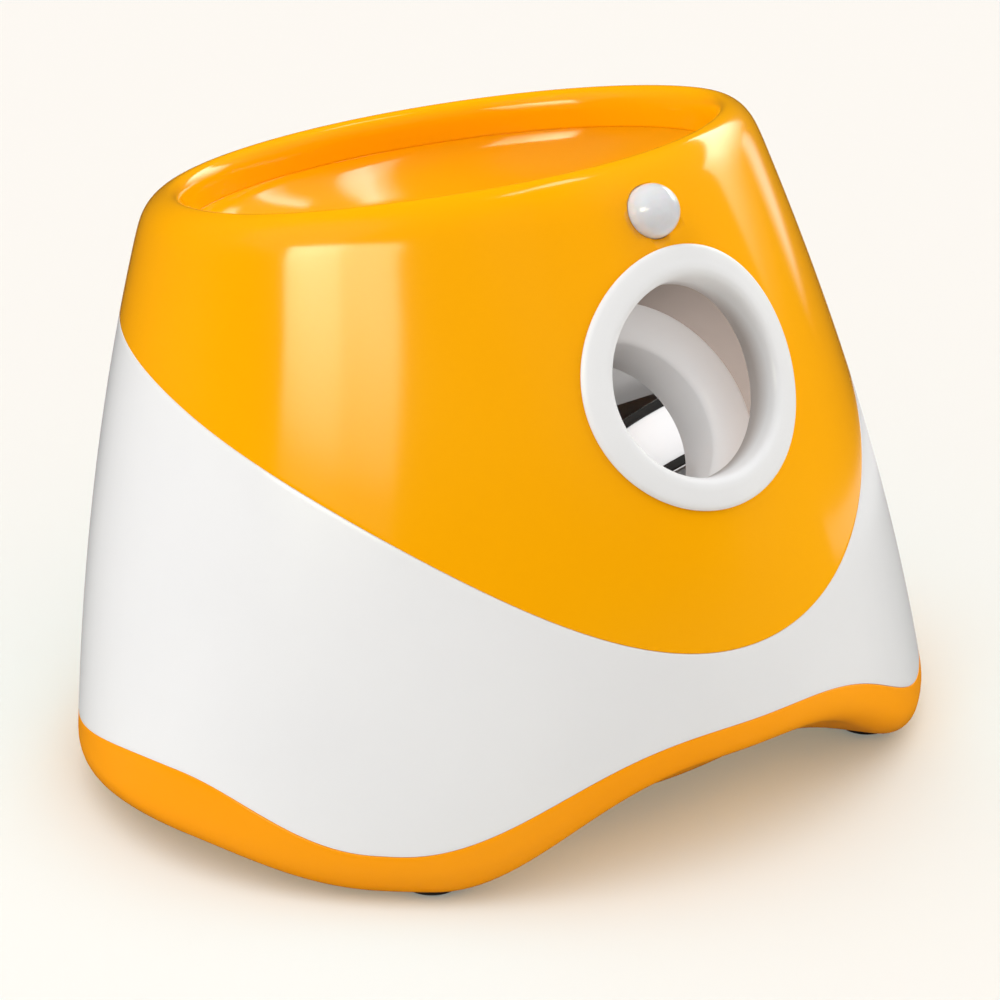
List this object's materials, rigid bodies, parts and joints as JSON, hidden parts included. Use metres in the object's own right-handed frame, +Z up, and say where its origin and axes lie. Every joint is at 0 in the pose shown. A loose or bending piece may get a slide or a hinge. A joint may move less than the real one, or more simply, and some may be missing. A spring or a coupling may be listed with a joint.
{
  "type": "automatic ball launcher",
  "caption": "Rounded automatic ball launcher with a hopper bowl on top, two spinning wheels inside and a flared nozzle in its sloping front.",
  "frame": {"origin": "on the floor, under the middle of the bounding box", "axes": "+Z up, the nozzle faces -Y, and the body is symmetric about the plane x = 0"},
  "size_m": [0.2634, 0.2311, 0.1914],
  "materials": {
    "orange_plastic": "glossy orange moulded plastic",
    "white_plastic": "glossy white moulded plastic",
    "frame_plastic": "matt light grey moulded plastic",
    "black_plastic": "matt black plastic",
    "rubber": "black rubber",
    "natural_plastic": "natural low-friction plastic",
    "steel": "bright steel",
    "zinc_can": "plated steel motor can",
    "brass": "sintered brass",
    "lens_plastic": "pearl white translucent plastic",
    "light_pipe": "clear green-tinted plastic",
    "circuit_board": "green glass-fibre board",
    "cell_wrap": "plain grey plastic sleeve",
    "wire_red": "red vinyl wire cover",
    "wire_black": "black vinyl wire cover",
    "wire_white": "white vinyl wire cover"
  },
  "bodies": {
    "housing": {"upper_shell": "orange_plastic", "lower_shell": "white_plastic", "hopper_bowl": "orange_plastic", "base_tray": "orange_plastic", "rubber_feet": "rubber", "nozzle_ring": "white_plastic", "nozzle_well": "frame_plastic", "launch_barrel": "white_plastic", "frame_lower": "frame_plastic", "frame_upper": "frame_plastic", "frame_posts": "steel", "drop_chute": "frame_plastic", "motor_left": "zinc_can", "motor_right": "zinc_can", "motor_screws": "steel", "feed_motor": "zinc_can", "feed_bushes": "brass", "lever_pin": "steel", "lever_switch": "black_plastic", "battery_box": "frame_plastic", "battery_cells": "cell_wrap", "battery_contacts": "steel", "control_panel": "white_plastic", "status_lights": "light_pipe", "dc_inlet": "black_plastic", "main_board": "circuit_board", "board_parts": "black_plastic", "board_screws": "steel", "sensor_lens": "lens_plastic", "sensor_board": "circuit_board", "bowl_screws": "steel", "shell_screws": "steel", "base_screws": "steel", "frame_screws": "steel", "red_leads": "wire_red", "black_leads": "wire_black", "signal_leads": "wire_white"},
    "wheel_left": {"flywheel_left": "white_plastic", "flywheel_bands_left": "rubber", "motor_shaft_left": "steel"},
    "wheel_right": {"flywheel_right": "white_plastic", "flywheel_bands_right": "rubber", "motor_shaft_right": "steel"},
    "feeder": {"feed_arm": "natural_plastic", "feed_shaft": "steel", "feed_gear": "natural_plastic"},
    "pinion": {"feed_pinion": "natural_plastic"},
    "lever": {"ball_lever": "natural_plastic"},
    "button": {"power_button": "orange_plastic"},
    "knob": {"distance_knob": "white_plastic"},
    "door": {"battery_door": "orange_plastic"}
  },
  "joints": [
    {"name": "wheel_left_spin", "type": "hinge", "parent": "housing", "child": "wheel_left", "pos_m": [-0.0525, -0.03375, 0.09049], "axis": [0, 0.6428, 0.766], "continuous": true},
    {"name": "wheel_right_spin", "type": "hinge", "parent": "housing", "child": "wheel_right", "pos_m": [0.0525, -0.03375, 0.09049], "axis": [0, 0.6428, 0.766], "continuous": true},
    {"name": "feed_arm_swing", "type": "hinge", "parent": "housing", "child": "feeder", "pos_m": [0, -0.00707, 0.02894], "axis": [1, 0, 0], "range_deg": [0, 42]},
    {"name": "feed_pinion_turn", "type": "hinge", "parent": "housing", "child": "pinion", "pos_m": [0.038, -0.02719, 0.03016], "axis": [1, 0, 0], "range_deg": [-98, 0]},
    {"name": "ball_lever_press", "type": "hinge", "parent": "housing", "child": "lever", "pos_m": [0, -0.04538, 0.05796], "axis": [1, 0, 0], "range_deg": [-5, 0], "stiffness_Nm_per_rad": 0.02, "springref_deg": 2.86},
    {"name": "power_button_press", "type": "slide", "parent": "housing", "child": "button", "axis": [0, -1, 0], "range_m": [0, 0.0015], "stiffness_N_per_m": 600, "springref_m": -0.001},
    {"name": "distance_knob_turn", "type": "hinge", "parent": "housing", "child": "knob", "pos_m": [0.002, 0.10812, 0.078], "axis": [0, -1, 0], "range_deg": [0, 90]},
    {"name": "battery_door_slide", "type": "slide", "parent": "housing", "child": "door", "axis": [0, -1, 0], "range_m": [0, 0.06]}
  ],
  "couplings": [
    {"joint": "feed_pinion_turn", "follows": "feed_arm_swing", "ratio": -2.3333}
  ]
}
